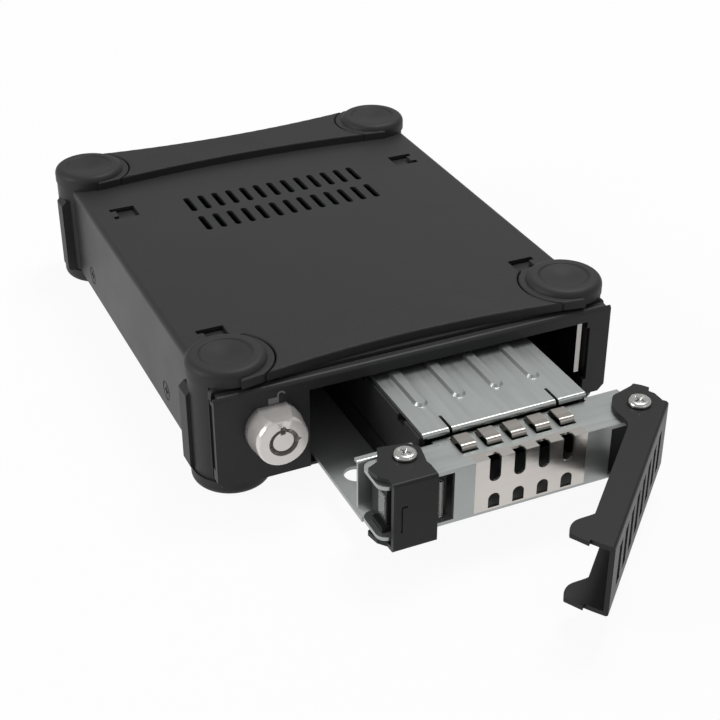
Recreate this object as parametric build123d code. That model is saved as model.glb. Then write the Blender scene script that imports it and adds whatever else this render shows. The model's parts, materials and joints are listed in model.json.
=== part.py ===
"""External drive enclosure: folded steel case, rubber corner posts and a pull-out drive tray.

Millimetres. X runs to the right seen from the front, Y to the back, Z up.
Pieces are drawn in the case's frame: front panel's face at y = 0, case underside at z = 0.
Tray pieces are drawn pushed home, then stored drawn out by tray_out, with the lever open.
"""

import os
from math import cos, radians, sin

from build123d import *

# Case
case_w = 109.2
case_h = 27.5
cover_front = 3.0
cover_back = 141.0
cover_sheet = 1.0
bend = 1.6
base_sheet = 0.8
base_flange = 10.5
case_back = 144.0

# Front and rear panels
panel_over = 0.4
panel_w = case_w + 2 * panel_over
panel_low = 0.7
panel_top = case_h - 0.8
panel_sheet = 1.2
panel_lip = 2.6
corner_cut = 1.8
relief = 1.3
lip_gap_low = 5.8
lip_gap_top = panel_top - 2.4

# Opening for the tray
mouth_left = 24.1 - case_w / 2
mouth_right = case_w / 2 - 6.5
mouth_top = panel_top - 3.5
notch_right = mouth_right + 0.9
notch_low = 5.5
notch_top = mouth_top - 1.9

# Vents and hook windows in the cover
vent_rows = 2
vents_per_row = 13
vent_pitch = 4.375
vent_row_pitch = 13.2
vent_len = 9.4
vent_w = 1.95
vent_x = 0.45
vent_y = 94.4
window_w = 7.4
window_d = 6.8
window_x = case_w / 2 - 9.6
window_front_y = 27.6
window_back_y = 104.0
window_tab = 1.6

# Corner posts and bands
post_x = case_w / 2 - 7.23
post_y = 11.85
cap_r = 10.17
cap_rise = 4.06
foot_drop = 4.2
rim_r = 2.0
dish_r = 7.3
dish_depth = 0.9
column_r = 9.7
column_front = 4.8
guard_x = case_w / 2 + 3.5
guard_d = 5.4
guard_top = case_h - 4.3
guard_top_cut = 1.5
guard_low_cut = 0.8
pad_r = 11.9
band_rise = 2.4
band_gap = 0.3
band_edge = 0.5
band_out_end = 0.5
band_out_mid = 4.6
band_in_end = 22.6
band_in_mid = 19.2

# Side screws
screw_r = 1.45
screw_head_r = 2.8
screw_head_t = 1.35
screw_len = 1.6
side_screw_front_y = 40.5
side_screw_back_y = 110.5
side_screw_z = 5.7
screw_slack = 0.05

# Cage round the tray
cage_sheet = 0.9
cage_left = mouth_left - 0.6
cage_right = case_w / 2 - 4.7
cage_top = case_h - 1.3
cage_front = 7.2
wing_gap = 5.6
clip_sheet = 0.3
clip_d = 2.3
clip_low = 3.4
clip_top = 18.6
cage_back = 115.0
rail_front = 20.0
rail_back = 112.0
rail_top = 5.0
rail_bite = 1.7
slide_gap = 0.4

# Tray, drawn pushed home
tray_out = 40.0
tray_sheet = 1.0
tray_left = mouth_left + 1.8
tray_right = cage_right - 2.9
tray_low = base_sheet + slide_gap
tray_front_edge = 13.4
tray_cutback_x = 31.0
tray_cutback = 14.5
tray_back = 112.0
tray_hole_r = 3.2
tray_hole_x = tray_left + 6.3
tray_hole_y = 30.4

# Tray front, folded from one sheet
front_left = -11.0
front_right = 31.0
front_y = 1.0
front_low = 4.2
front_high = mouth_top - 3.7
flange_back = 12.9
front_foot_back = 20.0
front_foot_inset = 2.0
ear_r = 4.9
ear_back = 14.2
ear_left = mouth_left + 0.7
ear_corner_r = 2.6

# Shield plate and spring fingers in the tray front
shield_left = -5.6
shield_right = 24.3
shield_sheet = 0.6
shield_low = 4.9
shield_top_d = 3.0
shield_slots = 4
shield_slot_w = 3.05
shield_slot_pitch = 6.55
shield_slot_first = -0.4
shield_upper_low = 12.9
shield_lower_top = 9.4
shield_lower_low = 5.4
fingers = 5
finger_w = 3.8
finger_pitch = 6.58
finger_mid_x = 8.6
finger_front = 6.1
finger_back = 12.0
finger_rise = 1.5
finger_bend = 1.1
finger_sheet = 0.4
finger_slot_gap = 0.3
finger_tip_z = 0.1

# Carrier for the drive
carrier_left = -14.0
carrier_right = 31.0
carrier_front = 13.6
carrier_back = 108.0
carrier_wall = 1.5
carrier_floor = 1.2
carrier_top = mouth_top - 2.5
carrier_floor_front = 21.0
carrier_skirt = 0.4
carrier_skirt_top = 7.9
snap_w = 3.5
snap_d = 1.6
snap_first = 8.0
snap_pitch = 22.0
boss_h = 2.0
boss_r = 2.2
board_t = 1.2

# Ribbed plate on the carrier
plate_left = -13.2
plate_front = 13.0
plate_sheet = 1.0
plate_bend = 0.9
plate_lip_low = carrier_top - 0.3
ribs = 4
rib_first_x = -7.6
rib_pitch = 10.3
rib_w = 3.6
rib_rise = 0.7
rib_slope = 40.0
rib_start = 11.0
rib_end_gap = 6.0
slit_w = 0.8
slit_len = 6.0
slit_left_x = -5.9
slit_right_x = 23.0

# Release bracket on the left of the tray front
release_x = mouth_left + 10.3
release_y = 8.4
release_left = mouth_left + 3.0
release_right = mouth_left + 14.2
release_front = -1.2
release_low = 2.0
release_high = mouth_top - 2.1
release_low_back = 12.2
groove_w = 0.5
groove_d = 0.3
groove_inset = 1.8
groove_low = 7.3
groove_top = 14.6
groove_arm = 1.7

# Lever on the right of the tray front
lever_x = mouth_right - 7.3
lever_y = 4.7
lever_open = 45.0
lever_low = 2.0
lever_high = mouth_top - 2.2
lever_sheet = 1.2
lever_tip_gap = 0.5
lever_end = lever_x - release_right - lever_tip_gap
lever_front = 6.6
lever_corner = 3.3
lever_round = 0.4
lever_windows = 8
lever_window_w = 3.4
lever_window_h = 11.0
lever_window_pitch = 6.3
lever_window_x = -27.0
long_bend = 0.8

# Plate across the tray's left front
hook_left = mouth_left + 0.8
hook_right = carrier_left - 1.0
hook_sheet = 0.8
hook_top = front_high - 0.7
hook_lip = 2.1
hook_corner = 3.4

# Plastic blocks between the ears
latch_left = mouth_left + 3.5
latch_inner_left = mouth_left + 8.5
latch_inner_right = mouth_left + 15.0
latch_right = front_left - 0.8
latch_front = 3.5
latch_bar_front = 10.3
latch_back = 11.5
ledge_left = mouth_left + 2.1
ledge_front = 3.0
ledge_back = 8.4
ledge_h = 1.5
stop_left = front_right + 0.2
stop_right = lever_x - 4.3
stop_front = 2.2
stop_back = 10.0
lens_t = 0.4
lens_front = 3.8
lens_back = 7.4
lens_low = 8.0
lens_top = 15.0
lens_cut = 0.25

# Pivot screws of lever and bracket
pivot_r = 1.6
pivot_slack = 0.05
pivot_head_r = 2.95
pivot_head_t = 1.1
pivot_head_gap = 0.2
cross_len = 3.2
cross_w = 0.8
cross_d = 0.6
pivot_foot_r = 2.6
pivot_foot_t = 0.7

# Lock
lock_x = 14.2 - case_w / 2
lock_z = case_h - 12.1
barrel_base_r = 7.2
barrel_face_r = 6.6
barrel_out = 7.6
barrel_r = 5.9
barrel_back = 9.0
core_r = 3.75
core_slack = 0.05
core_set = 0.4
key_post_r = 2.65
key_depth = 4.0
key_notch_w = 1.3
key_notch_d = 0.7
key_pins = 7
key_pin_r = 0.42
key_pin_h = 0.5
nut_across = 15.0
nut_t = 3.0
spindle_r = 2.5
cam_gap = 0.4
cam_t = 1.5
cam_reach = lock_z - base_sheet - 2.6
cam_w = 6.0
cam_screw_r = 3.2
cam_screw_t = 1.8

# Electronics
backplane_t = 1.6
backplane_low = 2.0
backplane_top = cage_top - 1.2
plug_left = -2.0
plug_right = 19.0
plug_front = 103.0
plug_back = 113.0
plug_h = 5.0
socket_gap = 0.4
socket_wall = 1.2
socket_depth = 5.5
bridge_left = -44.0
bridge_right = 46.0
bridge_front = 118.5
bridge_back = 140.5
bridge_z = 8.0
bridge_t = 1.6
link_over_left = 10.0
link_over_right = 8.0
link_d = 5.0
link_h = 4.5
spacer_r = 2.5
spacer_inset = 4.0
board_screw_head_r = 2.5
board_screw_head_t = 1.4
usb_x = 14.0
usb_w = 8.94
usb_h = 3.26
usb_len = 8.6
usb_wall = 0.35
jack_x = -12.0
jack_w = 9.0
jack_h = 10.8
jack_len = 10.0
jack_hole_r = 3.1
jack_pin_r = 1.0
port_end = 143.4
port_gap = 0.3
switch_x = -34.0
switch_w = 12.0
switch_h = 9.0
switch_d = 10.0
switch_z = 15.5
bezel = 1.2
bezel_t = 1.0
rocker_tilt = 9.0

tray_top = tray_low + tray_sheet
front_turn = front_y + tray_sheet


def block(x0, x1, y0, y1, z0, z1):
    """A box between two corners."""
    return Pos((x0 + x1) / 2, (y0 + y1) / 2, (z0 + z1) / 2) * Box(x1 - x0, y1 - y0, z1 - z0)


def disc(x, y, z0, z1, r):
    """An upright cylinder."""
    return Pos(x, y, (z0 + z1) / 2) * Cylinder(r, z1 - z0)


def rod_y(x, z, y0, y1, r):
    """A cylinder along Y."""
    return Pos(x, (y0 + y1) / 2, z) * Rot(90, 0, 0) * Cylinder(r, y1 - y0)


def rod_x(y, z, x0, x1, r):
    """A cylinder along X."""
    return Pos((x0 + x1) / 2, y, z) * Rot(0, 90, 0) * Cylinder(r, x1 - x0)


def slab(points, z0, z1):
    """A flat outline in X and Y, as a plate from z0 to z1."""
    return Pos(0, 0, z0) * extrude(make_face(Polyline(*points, close=True)), z1 - z0)


def section_x(points, x0, x1):
    """An outline in Y and Z, drawn out along X."""
    face = make_face(Polyline(*[(x0, y, z) for y, z in points], close=True))
    return extrude(face, x1 - x0, dir=(1, 0, 0))


# Case


def case_cover():
    """Top and sides folded from one sheet, with vents, hook windows and countersunk holes."""
    depth = cover_back - cover_front
    outer = block(-case_w / 2, case_w / 2, cover_front, cover_back, 0, case_h)
    outer = fillet(outer.edges().filter_by(Axis.Y).group_by(Axis.Z)[-1], bend)
    inside = case_w / 2 - cover_sheet
    inner = block(-inside, inside, cover_front, cover_back, 0, case_h - cover_sheet)
    inner = fillet(inner.edges().filter_by(Axis.Y).group_by(Axis.Z)[-1], bend - cover_sheet)
    cover = outer - inner
    slot = extrude(Rot(0, 0, 90) * SlotOverall(vent_len, vent_w), 3 * cover_sheet, both=True)
    grid = GridLocations(vent_pitch, vent_row_pitch, vents_per_row, vent_rows)
    cover -= [Pos(vent_x, vent_y, case_h) * place * slot for place in grid]
    for side in (-1, 1):
        for y in (window_front_y, window_back_y):
            cover -= hook_window(side, y)
        for y in (side_screw_front_y, side_screw_back_y):
            cover -= side_screw(side, y, screw_slack, depth)
    corner = block(-case_w / 2, -inside, cover_front, column_front, 0, case_h - 2 * bend)
    return cover - four_corners(corner) - four_corners(post_column())


def hook_window(side, y):
    """Square window with a small tab left standing in its outer edge."""
    hole = Rectangle(window_w, window_d) - Pos(side * (window_w - window_tab) / 2, 0) * Rectangle(
        window_tab, window_d / 2
    )
    return Pos(side * window_x, y, case_h) * extrude(hole, 2 * cover_sheet, both=True)


def side_screw(side, y, slack=0.0, reach=0.0):
    """Countersunk screw in the case's side; with slack and reach it is the hole for it."""
    outside = case_w / 2
    tip = outside - cover_sheet - base_sheet - (screw_len if not reach else 3 * screw_len)
    head = Pos(outside - screw_head_t / 2, y, side_screw_z) * Rot(0, 90, 0) * Cone(
        screw_r + slack, screw_head_r + slack, screw_head_t
    )
    screw = head + rod_x(y, side_screw_z, tip, outside - screw_head_t, screw_r + slack)
    if not reach:
        drive = RegularPolygon(0.9, 6)
        screw -= Pos(outside, y, side_screw_z) * Rot(0, 90, 0) * extrude(drive, -0.8)
    return screw if side > 0 else mirror(screw, Plane.YZ)


def case_screws():
    """Four countersunk screws, two in each side."""
    return [side_screw(s, y) for s in (-1, 1) for y in (side_screw_front_y, side_screw_back_y)]


def base_plate():
    """Bottom sheet with a flange turned up along each side."""
    inside = case_w / 2 - cover_sheet
    front = panel_sheet
    back = case_back - panel_sheet
    plate = block(-inside, inside, front, back, 0, base_sheet)
    for side in (-1, 1):
        low, high = sorted((side * inside, side * (inside - base_sheet)))
        plate += block(low, high, cover_front, cover_back, 0, base_flange)
    for side in (-1, 1):
        for y in (side_screw_front_y, side_screw_back_y):
            plate -= side_screw(side, y, screw_slack, 1.0)
    return plate - four_corners(post_column())


def pan():
    """Panel blank: a face with lips turned back at the top and sides, and cut bend reliefs."""
    half = panel_w / 2
    body = block(-half, half, 0, panel_lip, panel_low, panel_top)
    front_edges = body.edges().group_by(Axis.Y)[0]
    body = fillet(front_edges.filter_by(Axis.X).group_by(Axis.Z)[-1], panel_sheet)
    low_corners = body.edges().filter_by(Axis.Y).group_by(Axis.Z)[0]
    body = chamfer(low_corners, corner_cut)
    inner = half - panel_sheet
    body -= block(-inner, inner, panel_sheet, panel_lip, 0, panel_top - panel_sheet)
    for side in (-1, 1):
        x0, x1 = sorted((side * half, side * (half - relief)))
        body -= block(x0, x1, panel_sheet / 2, panel_lip, panel_top - relief, panel_top)
        body -= block(x0, x1, panel_sheet, panel_lip, lip_gap_low, lip_gap_top)
    return body


def front_panel():
    """Front panel with the tray's mouth and the lock's hole."""
    panel = pan()
    panel -= block(mouth_left, mouth_right, -1, panel_lip, 0, mouth_top)
    panel -= block(mouth_right - 1, notch_right, -1, panel_lip, notch_low, notch_top)
    return panel - rod_y(lock_x, lock_z, -1, panel_lip, barrel_r + 0.1)


def rear_panel():
    """Rear panel with cut-outs for the socket, the jack, the switch and a few air slots."""
    panel = Pos(0, case_back, 0) * mirror(pan(), Plane.XZ)
    z0 = bridge_z + bridge_t
    panel -= block(
        usb_x - usb_w / 2 - port_gap, usb_x + usb_w / 2 + port_gap,
        cover_back, case_back + 1, z0 - port_gap, z0 + usb_h + port_gap,
    )
    panel -= block(
        jack_x - jack_w / 2 - port_gap, jack_x + jack_w / 2 + port_gap,
        cover_back, case_back + 1, z0 - port_gap, z0 + jack_h + port_gap,
    )
    panel -= block(
        switch_x - switch_w / 2, switch_x + switch_w / 2,
        cover_back, case_back + 1, switch_z - switch_h / 2, switch_z + switch_h / 2,
    )
    slot = Rot(90, 0, 0) * extrude(Rot(0, 0, 90) * SlotOverall(2 * vent_len, vent_w), 9, both=True)
    columns = [Pos(38 + vent_pitch * (i - 2), case_back, panel_top / 2 + 1) for i in range(5)]
    return panel - [place * slot for place in columns]


def band_strip():
    """Raised strip from post to post, its long edges drawn in by shallow arcs."""
    x = post_x
    front = ThreePointArc((-x, band_out_end), (0, band_out_mid), (x, band_out_end))
    back = ThreePointArc((x, band_in_end), (0, band_in_mid), (-x, band_in_end))
    right = Line((x, band_out_end), (x, band_in_end))
    left = Line((-x, band_in_end), (-x, band_out_end))
    return Pos(0, 0, case_h) * extrude(make_face([front, right, back, left]), band_rise)


def band():
    """The strip without its two ends, which belong to the posts."""
    strip = band_strip()
    for side in (-1, 1):
        strip -= disc(side * post_x, post_y, case_h, case_h + band_rise, pad_r + band_gap)
    strip = strip.solids().sort_by(SortBy.VOLUME)[-1]
    return fillet(strip.edges().group_by(Axis.Z)[-1], band_edge)


def four_corners(front_left):
    """A shape at the front left and its likes at the front right, rear left and rear right."""
    front_right = mirror(front_left, Plane.YZ)
    turned = Pos(0, case_back, 0) * Rot(0, 0, 180)
    return [front_left, front_right, turned * front_right, turned * front_left]


def round_cap(height):
    """Round cap standing on z = 0, with a rounded rim and a shallow dish in its top."""
    crest = cap_r - rim_r
    shoulder = height - rim_r
    diagonal = rim_r * cos(radians(45))
    profile = [
        Line((0, 0), (cap_r, 0)),
        Line((cap_r, 0), (cap_r, shoulder)),
        ThreePointArc((cap_r, shoulder), (crest + diagonal, shoulder + diagonal), (crest, height)),
        Line((crest, height), (dish_r, height)),
        Spline((dish_r, height), (0, height - dish_depth), tangents=((-1, 0), (-1, 0))),
        Line((0, height - dish_depth), (0, 0)),
    ]
    return revolve(Plane.XZ * make_face(profile), Axis.Z)


def post_column():
    """Column of the front left post, round outside and as far in as the base plate's flange."""
    column = disc(-post_x, post_y, 0, case_h, column_r)
    column += block(-case_w / 2, -post_x, column_front, post_y, 0, case_h)
    return column & block(-guard_x, cover_sheet + base_sheet - case_w / 2, 0, case_back, 0, case_h)


def corner_post():
    """Rubber post at the front left: cap and pad on the cover, column, guard and foot."""
    x = -post_x
    cap = Pos(x, post_y, case_h) * round_cap(cap_rise)
    foot = Pos(x, post_y, 0) * Rot(180, 0, 0) * round_cap(foot_drop)
    pad = band_strip() & disc(x, post_y, case_h, case_h + band_rise, pad_r)
    pad = fillet(pad.edges().group_by(Axis.Z)[-1], band_edge)
    guard = block(-guard_x, -case_w / 2, post_y, post_y + guard_d, 0, guard_top)
    outer = guard.edges().filter_by(Axis.Y).group_by(Axis.X)[0].sort_by(Axis.Z)
    guard = chamfer(outer[-1], guard_top_cut)
    outer = guard.edges().filter_by(Axis.Y).group_by(Axis.X)[0].sort_by(Axis.Z)
    guard = chamfer(outer[0], guard_low_cut)
    return cap + pad + post_column() + guard + foot


def case_body():
    """Every solid of the case itself, by node name."""
    posts = four_corners(corner_post())
    turned = Pos(0, case_back, 0) * Rot(0, 0, 180)
    front_band = band()
    return {
        "case_cover": case_cover(),
        "base_plate": base_plate(),
        "front_panel": front_panel(),
        "rear_panel": rear_panel(),
        "front_band": front_band,
        "rear_band": turned * front_band,
        "corner_post_front_left": posts[0],
        "corner_post_front_right": posts[1],
        "corner_post_rear_left": posts[2],
        "corner_post_rear_right": posts[3],
        "case_screws": case_screws(),
    }


# Cage and electronics


def tray_cage():
    """Folded cage round the tray, standing on the base plate, open below and at both ends."""
    out_left = cage_left - cage_sheet
    out_right = cage_right + cage_sheet
    shell = block(out_left, out_right, cage_front, cage_back, base_sheet, cage_top)
    shell = fillet(shell.edges().filter_by(Axis.Y).group_by(Axis.Z)[-1].sort_by(Axis.X)[-1], cage_sheet)
    shell -= block(cage_left, cage_right, cage_front, cage_back, 0, cage_top - cage_sheet)
    shell += block(wing_gap - case_w / 2, out_left, cage_front, cage_back, cage_top - cage_sheet, cage_top)
    shell -= block(
        out_left, cage_left, cage_front + 1.4, cage_front + 5.2, lock_z - cam_reach, lock_z + cam_w / 2 + 1
    )
    vent_d = vent_row_pitch + vent_len + 2
    vent_wide = vent_pitch * vents_per_row
    return shell - block(
        vent_x - vent_wide / 2, vent_x + vent_wide / 2,
        vent_y - vent_d / 2, vent_y + vent_d / 2, cage_top - 2 * cage_sheet, cage_top,
    )


def edge_clip():
    """Bright strip round the front edge of the cage's right wall."""
    out_right = cage_right + cage_sheet
    y0 = cage_front - clip_sheet
    clip = block(cage_right, out_right + clip_sheet, y0, y0 + clip_d, clip_low, clip_top)
    return clip - block(cage_right, out_right, cage_front, cage_back, clip_low, clip_top)


def guide_rail(side):
    """Plastic rail on the cage's wall, grooved for the tray floor's edge."""
    wall = cage_left if side < 0 else cage_right
    edge = tray_left if side < 0 else tray_right
    lip = edge - side * rail_bite
    groove = edge + side * slide_gap
    x0, x1 = sorted((wall, lip))
    rail = block(x0, x1, rail_front, rail_back, base_sheet, rail_top)
    g0, g1 = sorted((groove, lip))
    rail -= block(g0, g1, rail_front, rail_back, base_sheet, tray_top + slide_gap)
    lead = rail.edges().filter_by(Axis.Z).group_by(Axis.Y)[0]
    inner = lead.sort_by(Axis.X)[-1 if side < 0 else 0]
    return chamfer(inner, rail_bite / 2)


def backplane_board():
    """Upright board across the cage's back end."""
    y1 = cage_back + backplane_t
    return block(cage_left, cage_right, cage_back, y1, backplane_low, backplane_top)


def drive_plug():
    """Plug at the carrier's back end."""
    z0 = carrier_board_top()
    return block(plug_left, plug_right, plug_front, plug_back, z0, z0 + plug_h)


def carrier_board_top():
    return tray_top + carrier_floor + boss_h + board_t


def drive_socket():
    """Socket on the backplane that the tray's plug runs into."""
    z0 = carrier_board_top() - socket_gap
    z1 = z0 + plug_h + 2 * socket_gap
    x0 = plug_left - socket_gap
    x1 = plug_right + socket_gap
    y0 = cage_back - socket_depth
    body = block(x0 - socket_wall, x1 + socket_wall, y0, cage_back, z0 - socket_wall, z1 + socket_wall)
    return body - block(x0, x1, y0, plug_back + socket_gap, z0, z1)


def bridge_corners():
    return [
        (x, y)
        for x in (bridge_left + spacer_inset, bridge_right - spacer_inset)
        for y in (bridge_front + spacer_inset, bridge_back - spacer_inset)
    ]


def bridge_board():
    """Flat board behind the backplane, on four spacers."""
    z1 = bridge_z + bridge_t
    board = block(bridge_left, bridge_right, bridge_front, bridge_back, bridge_z, z1)
    return board - [disc(x, y, bridge_z, z1, screw_r + screw_slack) for x, y in bridge_corners()]


def board_spacers():
    """Four threaded spacers on the base plate."""
    hollow = [disc(x, y, bridge_z / 2, bridge_z, screw_r + screw_slack) for x, y in bridge_corners()]
    return [
        disc(x, y, base_sheet, bridge_z, spacer_r) - hole
        for (x, y), hole in zip(bridge_corners(), hollow)
    ]


def board_screws():
    """Four pan-head screws that hold the bridge board."""
    top = bridge_z + bridge_t
    return [
        disc(x, y, bridge_z / 2 + 1, top, screw_r)
        + disc(x, y, top, top + board_screw_head_t, board_screw_head_r)
        for x, y in bridge_corners()
    ]


def board_link():
    """Right-angle header that joins the backplane to the bridge board."""
    y0 = cage_back + backplane_t
    z0 = bridge_z + bridge_t
    return block(plug_left - link_over_left, plug_right + link_over_right, y0, y0 + link_d, z0, z0 + link_h)


def usb_socket():
    """Reversible data socket: an oval shell with its tongue."""
    shell = extrude(RectangleRounded(usb_w, usb_h, usb_h / 2 - 0.05), usb_len)
    cavity = RectangleRounded(usb_w - 2 * usb_wall, usb_h - 2 * usb_wall, usb_h / 2 - usb_wall - 0.05)
    shell -= Pos(0, 0, 1.5) * extrude(cavity, usb_len)
    tongue = Pos(0, 0, 1.5) * extrude(Rectangle(6.7, 0.7), usb_len - 2.5)
    z = bridge_z + bridge_t + usb_h / 2
    return Pos(usb_x, port_end - usb_len, z) * Rot(-90, 0, 0) * (shell + tongue)


def power_jack():
    """Round power jack with its centre pin."""
    z0 = bridge_z + bridge_t
    zc = z0 + jack_h / 2
    y0 = port_end - jack_len
    body = block(jack_x - jack_w / 2, jack_x + jack_w / 2, y0, port_end, z0, z0 + jack_h)
    body -= rod_y(jack_x, zc, y0 + 1.5, port_end, jack_hole_r)
    return body + rod_y(jack_x, zc, y0 + 1, port_end - 1, jack_pin_r)


def switch_body():
    """Switch housing held in the rear panel by its bezel, open where the rocker tilts."""
    w = switch_w / 2
    h = switch_h / 2
    y0 = case_back - panel_sheet - switch_d
    body = block(switch_x - w, switch_x + w, y0, case_back, switch_z - h, switch_z + h)
    face = block(
        switch_x - w - bezel, switch_x + w + bezel,
        case_back, case_back + bezel_t, switch_z - h - bezel, switch_z + h + bezel,
    )
    face = fillet(face.edges().group_by(Axis.Y)[-1], 0.4)
    well = block(
        switch_x - w + 1, switch_x + w - 1, case_back - 4.5, case_back + 2 * bezel_t,
        switch_z - h + 1, switch_z + h - 1,
    )
    axle = rod_x(case_back - 1.5, switch_z, switch_x - w + 0.5, switch_x + w - 0.5, 0.85)
    return body + face - well - axle


def switch_rocker():
    """Rocker on its two short pins, tipped to the off side."""
    w = switch_w / 2 - 1.3
    h = switch_h / 2 - 1.5
    y = case_back - 1.5
    body = block(switch_x - w, switch_x + w, y - 1.0, case_back + 1.2, switch_z - h, switch_z + h)
    crown = rod_x(case_back + 4.6, switch_z, switch_x - w, switch_x + w, 4.1)
    body -= crown
    body += rod_x(y, switch_z, switch_x - switch_w / 2 + 0.6, switch_x + switch_w / 2 - 0.6, 0.8)
    turn = Location((0, y, switch_z)) * Location((0, 0, 0), (rocker_tilt, 0, 0))
    return turn * Pos(0, -y, -switch_z) * body


# Lock


def lock_barrel():
    """Chromed barrel of a tubular lock: flared head outside, plain body behind the panel."""
    outline = Polyline(
        (core_r + core_slack, -barrel_out),
        (barrel_face_r - 0.4, -barrel_out),
        (barrel_face_r, -barrel_out + 0.4),
        (barrel_base_r, -2.4),
        (barrel_base_r, 0),
        (barrel_r, 0),
        (barrel_r, barrel_back),
        (core_r + core_slack, barrel_back),
        close=True,
    )
    ring = revolve(make_face(outline), Axis.Y)
    half = key_notch_w / 2
    notch = block(-half, half, -barrel_out, key_notch_d - barrel_out, 0, core_r + key_notch_d)
    return Pos(lock_x, 0, lock_z) * (ring - notch)


def lock_nut():
    """Hexagon nut that draws the barrel against the panel."""
    nut = extrude(RegularPolygon(nut_across / 2, 6, major_radius=False), nut_t)
    nut = Pos(lock_x, panel_sheet, lock_z) * Rot(-90, 0, 0) * nut
    return nut - rod_y(lock_x, lock_z, 0, barrel_back, barrel_r)


def lock_core():
    """Turning core with its ring-shaped keyway and the spindle that carries the cam."""
    front = core_set - barrel_out
    floor = front + key_depth
    core = rod_y(0, 0, floor, barrel_back, core_r) + rod_y(0, 0, front, floor, key_post_r)
    core -= block(-key_notch_w / 2, key_notch_w / 2, front, floor, key_post_r - key_notch_d, core_r)
    for i in range(key_pins):
        turn = radians(90 + (i + 1) * 360 / (key_pins + 1))
        middle = (key_post_r + core_r) / 2
        core += rod_y(middle * cos(turn), middle * sin(turn), floor - key_pin_h, floor, key_pin_r)
    core += rod_y(0, 0, barrel_back, cam_y() + cam_t, spindle_r)
    return Pos(lock_x, 0, lock_z) * core


def cam_y():
    return barrel_back + cam_gap


def lock_cam():
    """Flat cam that hangs down when unlocked and swings across the tray's hook when locked."""
    arm = SlotCenterToCenter(cam_reach - cam_w / 2, cam_w)
    arm = Pos(-(cam_reach - cam_w / 2) / 2, 0) * arm - Circle(spindle_r)
    plate = extrude(Rot(0, 0, 90) * arm, -cam_t)
    return Pos(lock_x, cam_y(), lock_z) * Rot(90, 0, 0) * plate


def cam_screw():
    """Low screw head that holds the cam on the spindle."""
    y0 = cam_y() + cam_t
    return rod_y(lock_x, lock_z, y0, y0 + cam_screw_t, cam_screw_r)


# Tray


def tray_floor():
    """Flat floor that runs in the rails, cut back at the right for the lever."""
    floor = slab(
        [
            (tray_left, tray_front_edge),
            (tray_cutback_x, tray_front_edge),
            (tray_cutback_x, tray_cutback),
            (tray_right, tray_cutback),
            (tray_right, tray_back),
            (tray_left, tray_back),
        ],
        tray_low,
        tray_top,
    )
    corners = floor.edges().filter_by(Axis.Z).group_by(Axis.Y)[-1]
    floor = chamfer(corners, 2.0)
    return floor - disc(tray_hole_x, tray_hole_y, tray_low, tray_top, tray_hole_r)


def tray_front():
    """Folded front: ears and flanges top and bottom, a face, and a foot on the tray's floor."""
    t = tray_sheet
    fold = [
        (flange_back, front_high),
        (front_y, front_high),
        (front_y, front_low),
        (flange_back - t, front_low),
        (flange_back - t, tray_top),
        (front_foot_back, tray_top),
        (front_foot_back, tray_top + t),
        (flange_back, tray_top + t),
        (flange_back, front_low + t),
        (front_turn, front_low + t),
        (front_turn, front_high - t),
        (flange_back, front_high - t),
    ]
    sheet = section_x(fold, front_left, front_right)
    inset = front_foot_inset
    foot_left = carrier_left + carrier_wall + inset
    foot_right = carrier_right - carrier_wall - inset
    for x0, x1 in (sorted((front_left, foot_left)), (foot_right, front_right)):
        sheet -= block(x0, x1, flange_back, front_foot_back, 0, front_low)
    for z0 in (front_low, front_high - t):
        sheet += ears(z0, z0 + t)
    sheet -= block(shield_left, shield_right, 0, front_turn, shield_low, front_high)
    sheet -= block(shield_left, shield_right, 0, front_y + shield_top_d, front_high - t, front_high)
    for x in finger_places():
        half = finger_w / 2 + finger_slot_gap
        sheet -= block(x - half, x + half, finger_front - 0.5, finger_back + 0.2, front_high - t, front_high)
    for x, y in ((lever_x, lever_y), (release_x, release_y)):
        sheet -= disc(x, y, front_low - 1, front_high + 1, pivot_r)
    return sheet


def ears(z0, z1):
    """Tongues at both ends of a flange, rounded about the two pivots."""
    right = block(front_right, lever_x, front_y, ear_back, z0, z1)
    right += disc(lever_x, lever_y, z0, z1, ear_r)
    left = block(ear_left, front_left, front_y, flange_back - tray_sheet, z0, z1)
    left = fillet(left.edges().filter_by(Axis.Z).group_by(Axis.X)[0], ear_corner_r)
    return right + left


def finger_places():
    return [finger_mid_x + finger_pitch * (i - (fingers - 1) / 2) for i in range(fingers)]


def shield_plate():
    """Bright shield plate let into the tray front, slotted at its top bend and lower edge."""
    t = shield_sheet
    bent = [
        (front_y, shield_low),
        (front_y + t, shield_low),
        (front_y + t, front_high - t),
        (front_y + shield_top_d, front_high - t),
        (front_y + shield_top_d, front_high),
        (front_y, front_high),
    ]
    plate = section_x(bent, shield_left, shield_right)
    half = shield_slot_w / 2
    slot_back = front_y + shield_top_d - 0.8
    for i in range(shield_slots):
        x = shield_slot_first + shield_slot_pitch * i
        plate -= block(x - half, x + half, 0, slot_back, shield_upper_low + half, front_high)
        plate -= rod_y(x, shield_upper_low + half, 0, front_turn, half)
        plate -= block(x - half, x + half, 0, front_turn, shield_lower_low, shield_lower_top - half)
        plate -= rod_y(x, shield_lower_top - half, 0, front_turn, half)
    return plate


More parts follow.
